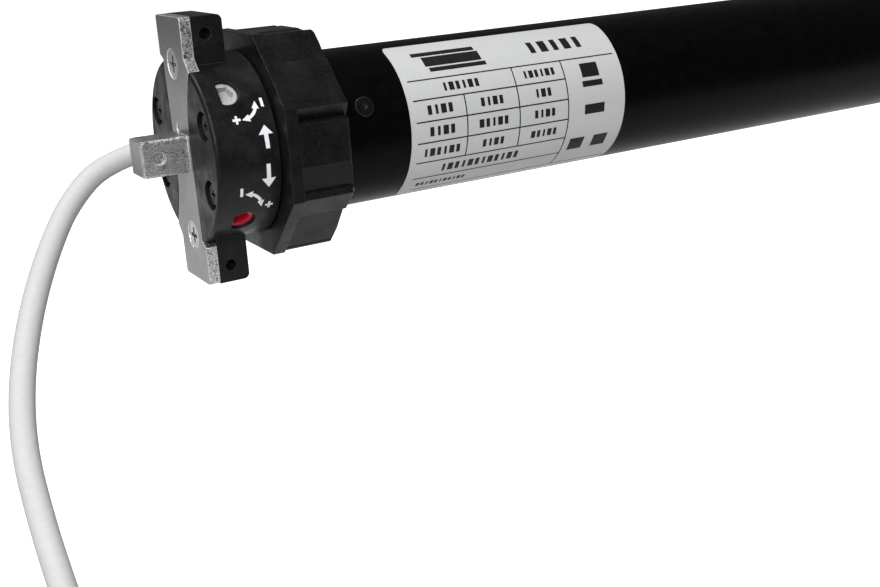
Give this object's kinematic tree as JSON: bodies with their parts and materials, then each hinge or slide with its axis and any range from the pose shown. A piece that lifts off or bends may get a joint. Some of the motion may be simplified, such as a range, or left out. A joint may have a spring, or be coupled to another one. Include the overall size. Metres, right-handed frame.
{
  "type": "tubular roller blind motor",
  "caption": "Tubular roller blind motor with octagonal crown and drive wheel, square mounting pin, limit adjusters and a coiled supply cable.",
  "frame": {"origin": "on the motor's axis, in the outer face of the mounting bar, at the root of the square pin", "axes": "+X along the motor from the head to the drive wheel, +Z along the mounting bar, +Y completes a right-handed frame"},
  "size_m": [0.6534, 0.1887, 0.122],
  "materials": {
    "die_cast": "satin die-cast zinc alloy, faintly speckled",
    "zinc_screw": "zinc-plated steel",
    "black_screw": "blackened steel",
    "housing_black": "glass-filled nylon, fine grain",
    "crown_black": "moulded acetal, scuffed",
    "tube_black": "black semi-gloss coat on steel tube",
    "label_grey": "pale grey polyester film, ruled",
    "white_adjuster": "white nylon",
    "red_adjuster": "red nylon",
    "cable_white": "white PVC sheath",
    "core_colours": "coloured PVC insulation",
    "tie_black": "nylon strap",
    "ferrule_tin": "tinned copper",
    "rubber_black": "moulded rubber",
    "inner_plastic": "natural nylon",
    "switch_red": "thermoset switch case",
    "train_white": "natural acetal",
    "brass": "turned brass",
    "bronze": "sintered bronze",
    "steel": "ground steel",
    "lamination": "stacked electrical steel",
    "copper": "enamelled copper wire",
    "cast_aluminium": "die-cast aluminium",
    "friction": "brake lining",
    "capacitor_white": "moulded capacitor case",
    "gear_steel": "sintered steel",
    "wheel_black": "glass-filled nylon"
  },
  "bodies": {
    "motor": {"mounting_bracket": "die_cast", "bracket_screws": "zinc_screw", "head_housing": "housing_black", "face_screws": "black_screw", "cable_gland": "rubber_black", "cable_tail": "cable_white", "terminal_block": "inner_plastic", "lead_wires": "core_colours", "supply_cable": "cable_white", "cable_coil": "cable_white", "cable_tie": "tie_black", "cable_cores": "core_colours", "core_ferrules": "ferrule_tin", "limit_switch_core": "housing_black", "microswitch_up": "switch_red", "microswitch_down": "switch_red", "motor_tube": "tube_black", "tube_screws": "black_screw", "rating_label": "label_grey", "capacitor": "capacitor_white", "capacitor_rings": "inner_plastic", "rear_end_shield": "cast_aluminium", "front_end_shield": "cast_aluminium", "motor_bushes": "bronze", "stator_core": "lamination", "stator_windings": "copper", "brake_housing": "cast_aluminium", "brake_spring": "steel", "ring_gear": "gear_steel", "gearbox_flange": "cast_aluminium", "output_bush": "bronze"},
    "crown": {"crown": "crown_black"},
    "pinion": {"limit_pinion": "train_white"},
    "idler": {"limit_idler": "train_white"},
    "spindle_up": {"limit_spindle_up": "brass"},
    "spindle_down": {"limit_spindle_down": "brass"},
    "nut_up": {"limit_nut_up": "train_white"},
    "nut_down": {"limit_nut_down": "train_white"},
    "plunger_up": {"switch_plunger_up": "train_white"},
    "plunger_down": {"switch_plunger_down": "train_white"},
    "adjuster_up": {"limit_screw_up": "white_adjuster"},
    "adjuster_down": {"limit_screw_down": "red_adjuster"},
    "rotor": {"rotor_core": "lamination", "rotor_shaft": "steel", "brake_disc": "friction"},
    "armature": {"brake_armature": "steel"},
    "carrier_one": {"carrier_1": "gear_steel"},
    "carrier_two": {"carrier_2": "gear_steel"},
    "output": {"output_carrier": "gear_steel", "drive_wheel": "wheel_black", "wheel_clip": "steel"},
    "planet_1_1_gear": {"planet_1_1": "gear_steel"},
    "planet_1_2_gear": {"planet_1_2": "gear_steel"},
    "planet_1_3_gear": {"planet_1_3": "gear_steel"},
    "planet_2_1_gear": {"planet_2_1": "gear_steel"},
    "planet_2_2_gear": {"planet_2_2": "gear_steel"},
    "planet_2_3_gear": {"planet_2_3": "gear_steel"},
    "planet_3_1_gear": {"planet_3_1": "gear_steel"},
    "planet_3_2_gear": {"planet_3_2": "gear_steel"},
    "planet_3_3_gear": {"planet_3_3": "gear_steel"}
  },
  "joints": [
    {"name": "crown_spin", "type": "hinge", "parent": "motor", "child": "crown", "pos_m": [0.027, 0, 0], "axis": [1, 0, 0], "continuous": true},
    {"name": "pinion_spin", "type": "hinge", "parent": "motor", "child": "pinion", "pos_m": [0.02, 0, 0.0168], "axis": [1, 0, 0], "continuous": true},
    {"name": "idler_spin", "type": "hinge", "parent": "motor", "child": "idler", "pos_m": [0.0137, 0, 0.0078], "axis": [1, 0, 0], "continuous": true},
    {"name": "spindle_up_spin", "type": "hinge", "parent": "motor", "child": "spindle_up", "pos_m": [0.04, 0.00955, -0.00175], "axis": [1, 0, 0], "continuous": true},
    {"name": "spindle_down_spin", "type": "hinge", "parent": "motor", "child": "spindle_down", "pos_m": [0.04, -0.00955, -0.00175], "axis": [1, 0, 0], "continuous": true},
    {"name": "nut_up_travel", "type": "slide", "parent": "motor", "child": "nut_up", "axis": [1, 0, 0], "range_m": [-0.0085, 0.0053]},
    {"name": "nut_down_travel", "type": "slide", "parent": "motor", "child": "nut_down", "axis": [1, 0, 0], "range_m": [-0.0085, 0.0053]},
    {"name": "plunger_up_push", "type": "slide", "parent": "motor", "child": "plunger_up", "axis": [1, 0, 0], "range_m": [0, 0.0008], "stiffness_N_per_m": 20},
    {"name": "plunger_down_push", "type": "slide", "parent": "motor", "child": "plunger_down", "axis": [1, 0, 0], "range_m": [0, 0.0008], "stiffness_N_per_m": 20},
    {"name": "adjuster_up_turn", "type": "hinge", "parent": "motor", "child": "adjuster_up", "pos_m": [0.0067, -0.0118, 0.01081], "axis": [0, -0.7373, 0.6756], "continuous": true},
    {"name": "adjuster_down_turn", "type": "hinge", "parent": "motor", "child": "adjuster_down", "pos_m": [0.0077, -0.01161, -0.01101], "axis": [0, -0.7254, -0.6884], "continuous": true},
    {"name": "rotor_spin", "type": "hinge", "parent": "motor", "child": "rotor", "pos_m": [0.2, 0, 0], "axis": [1, 0, 0], "continuous": true},
    {"name": "armature_pull", "type": "slide", "parent": "motor", "child": "armature", "axis": [-1, 0, 0], "range_m": [0, 0.0006], "stiffness_N_per_m": 5000, "springref_m": -0.002, "deforming": ["brake_spring"]},
    {"name": "carrier_one_spin", "type": "hinge", "parent": "motor", "child": "carrier_one", "pos_m": [0.32, 0, 0], "axis": [1, 0, 0], "continuous": true},
    {"name": "carrier_two_spin", "type": "hinge", "parent": "motor", "child": "carrier_two", "pos_m": [0.35, 0, 0], "axis": [1, 0, 0], "continuous": true},
    {"name": "output_spin", "type": "hinge", "parent": "motor", "child": "output", "pos_m": [0.43, 0, 0], "axis": [1, 0, 0], "continuous": true},
    {"name": "planet_1_1_spin", "type": "hinge", "parent": "carrier_one", "child": "planet_1_1_gear", "pos_m": [0.33, 0.01073, 0], "axis": [1, 0, 0], "continuous": true},
    {"name": "planet_1_2_spin", "type": "hinge", "parent": "carrier_one", "child": "planet_1_2_gear", "pos_m": [0.33, -0.00536, 0.00929], "axis": [1, 0, 0], "continuous": true},
    {"name": "planet_1_3_spin", "type": "hinge", "parent": "carrier_one", "child": "planet_1_3_gear", "pos_m": [0.33, -0.00536, -0.00929], "axis": [1, 0, 0], "continuous": true},
    {"name": "planet_2_1_spin", "type": "hinge", "parent": "carrier_two", "child": "planet_2_1_gear", "pos_m": [0.36, 0.01073, 0], "axis": [1, 0, 0], "continuous": true},
    {"name": "planet_2_2_spin", "type": "hinge", "parent": "carrier_two", "child": "planet_2_2_gear", "pos_m": [0.36, -0.00536, 0.00929], "axis": [1, 0, 0], "continuous": true},
    {"name": "planet_2_3_spin", "type": "hinge", "parent": "carrier_two", "child": "planet_2_3_gear", "pos_m": [0.36, -0.00536, -0.00929], "axis": [1, 0, 0], "continuous": true},
    {"name": "planet_3_1_spin", "type": "hinge", "parent": "output", "child": "planet_3_1_gear", "pos_m": [0.39, 0.01073, 0], "axis": [1, 0, 0], "continuous": true},
    {"name": "planet_3_2_spin", "type": "hinge", "parent": "output", "child": "planet_3_2_gear", "pos_m": [0.39, -0.00536, 0.00929], "axis": [1, 0, 0], "continuous": true},
    {"name": "planet_3_3_spin", "type": "hinge", "parent": "output", "child": "planet_3_3_gear", "pos_m": [0.39, -0.00536, -0.00929], "axis": [1, 0, 0], "continuous": true}
  ],
  "couplings": [
    {"joint": "pinion_spin", "follows": "crown_spin", "ratio": 4.5},
    {"joint": "idler_spin", "follows": "crown_spin", "ratio": -2.25},
    {"joint": "spindle_up_spin", "follows": "crown_spin", "ratio": 1.8},
    {"joint": "spindle_down_spin", "follows": "crown_spin", "ratio": 1.8},
    {"joint": "carrier_one_spin", "follows": "rotor_spin", "ratio": 0.18182},
    {"joint": "carrier_two_spin", "follows": "rotor_spin", "ratio": 0.033058},
    {"joint": "output_spin", "follows": "rotor_spin", "ratio": 0.0060105},
    {"joint": "planet_1_1_spin", "follows": "rotor_spin", "ratio": -0.46753},
    {"joint": "planet_1_2_spin", "follows": "rotor_spin", "ratio": -0.46753},
    {"joint": "planet_1_3_spin", "follows": "rotor_spin", "ratio": -0.46753},
    {"joint": "planet_2_1_spin", "follows": "rotor_spin", "ratio": -0.085006},
    {"joint": "planet_2_2_spin", "follows": "rotor_spin", "ratio": -0.085006},
    {"joint": "planet_2_3_spin", "follows": "rotor_spin", "ratio": -0.085006},
    {"joint": "planet_3_1_spin", "follows": "rotor_spin", "ratio": -0.015456},
    {"joint": "planet_3_2_spin", "follows": "rotor_spin", "ratio": -0.015456},
    {"joint": "planet_3_3_spin", "follows": "rotor_spin", "ratio": -0.015456}
  ]
}
